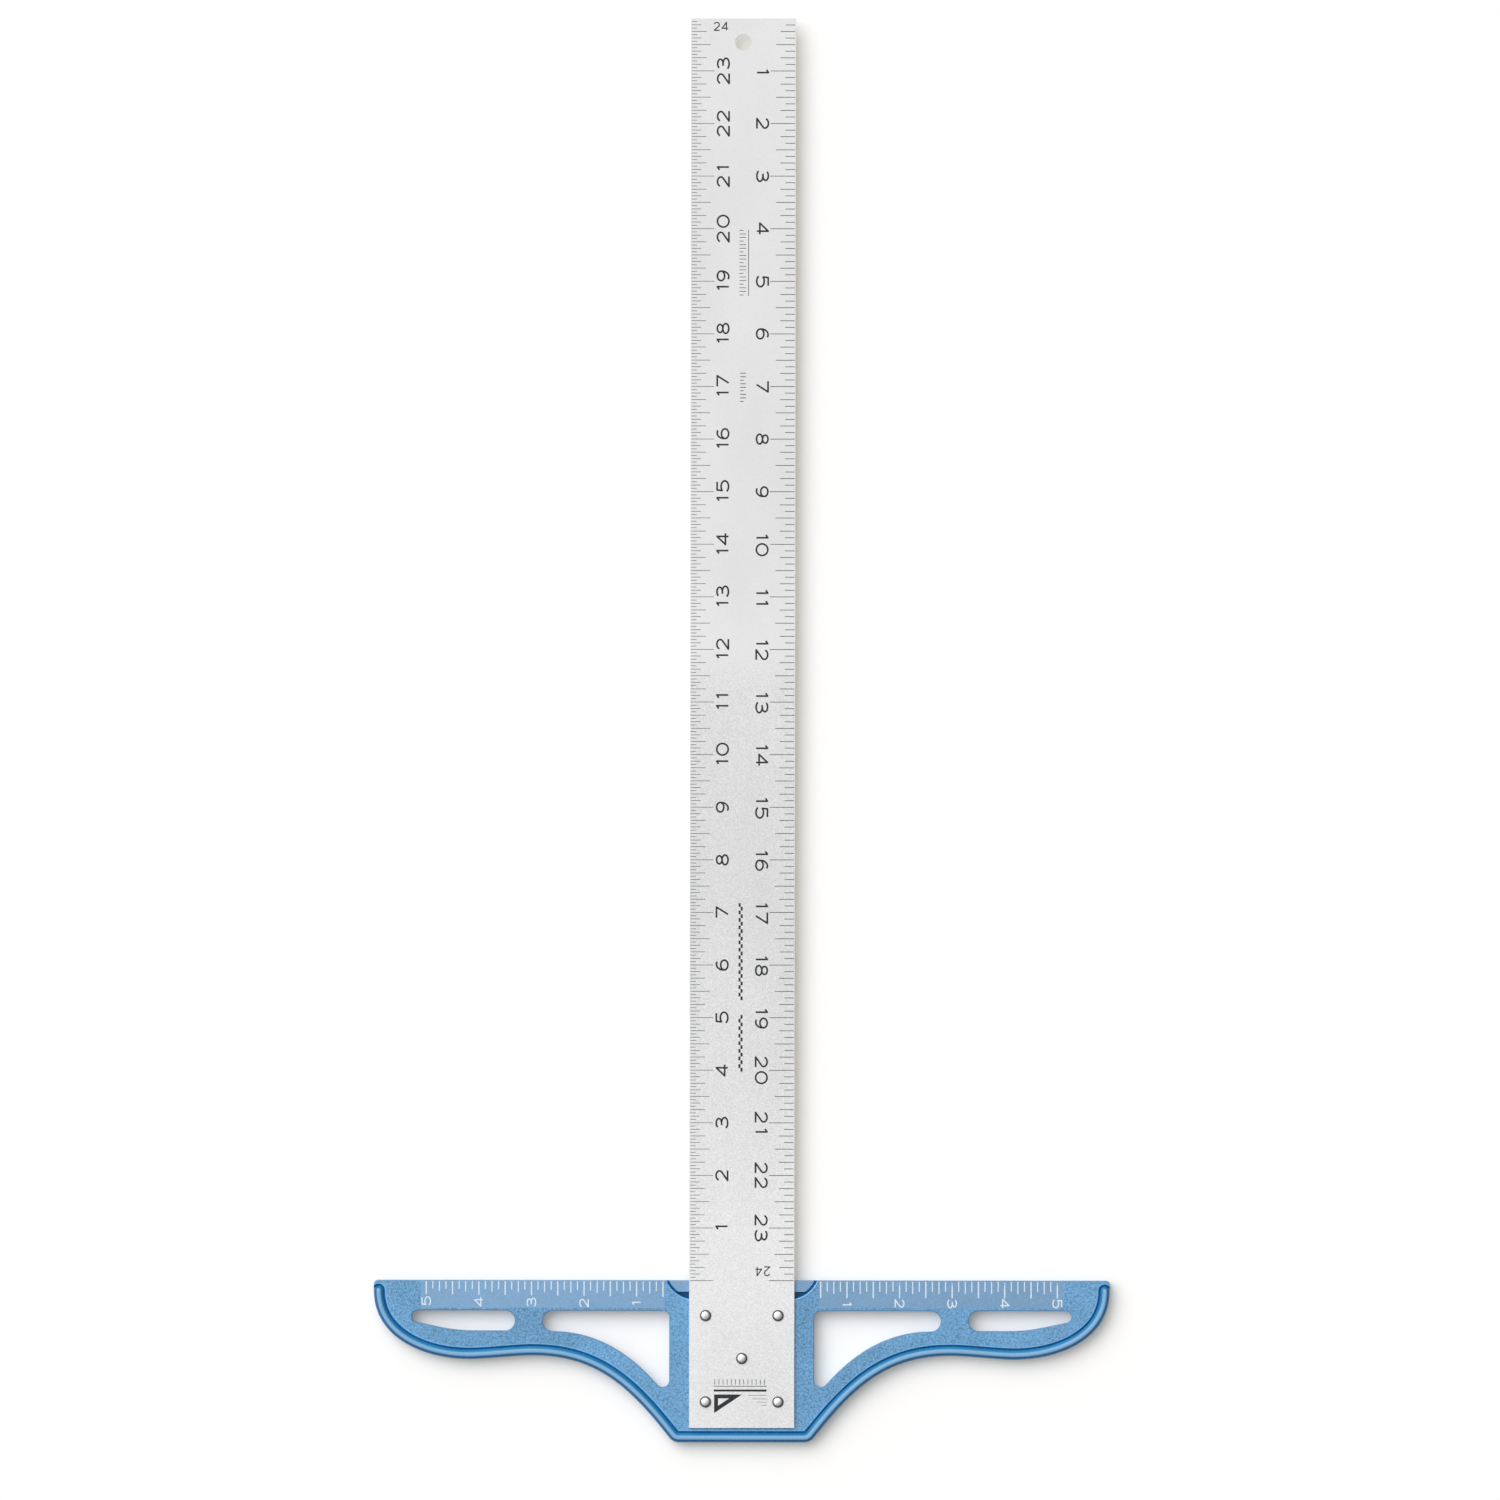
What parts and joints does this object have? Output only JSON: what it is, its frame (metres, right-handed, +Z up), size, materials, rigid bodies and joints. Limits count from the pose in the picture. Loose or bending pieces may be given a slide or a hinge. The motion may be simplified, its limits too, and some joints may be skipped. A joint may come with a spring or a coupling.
{
  "type": "t square",
  "caption": "Drafting T-square: a flat metal blade with an inch scale along each edge, riveted square across a moulded plastic head with open windows.",
  "frame": {"origin": "the foot of the head's working edge, on the blade's centreline and on the surface that the head lies on", "axes": "+Y along the blade from the working edge to its tip, +X along the working edge, +Z up out of the printed face"},
  "size_m": [0.3556, 0.6879, 0.0105],
  "materials": {
    "blade_aluminium": "satin, fine bead-blasted grain",
    "head_plastic": "leather-grain top face, smooth scale bands and rim bead",
    "rivet_metal": "bright, domed",
    "washer_metal": "zinc plated",
    "black_ink": "printed, slightly worn",
    "white_ink": "printed, slightly worn"
  },
  "bodies": {
    "root": {"blade": "blade_aluminium", "head": "head_plastic", "rivet_near_left": "rivet_metal", "rivet_near_right": "rivet_metal", "rivet_middle": "rivet_metal", "rivet_far_left": "rivet_metal", "rivet_far_right": "rivet_metal", "washer_near_left": "washer_metal", "washer_near_right": "washer_metal", "washer_middle": "washer_metal", "washer_far_left": "washer_metal", "washer_far_right": "washer_metal"}
  },
  "joints": []
}
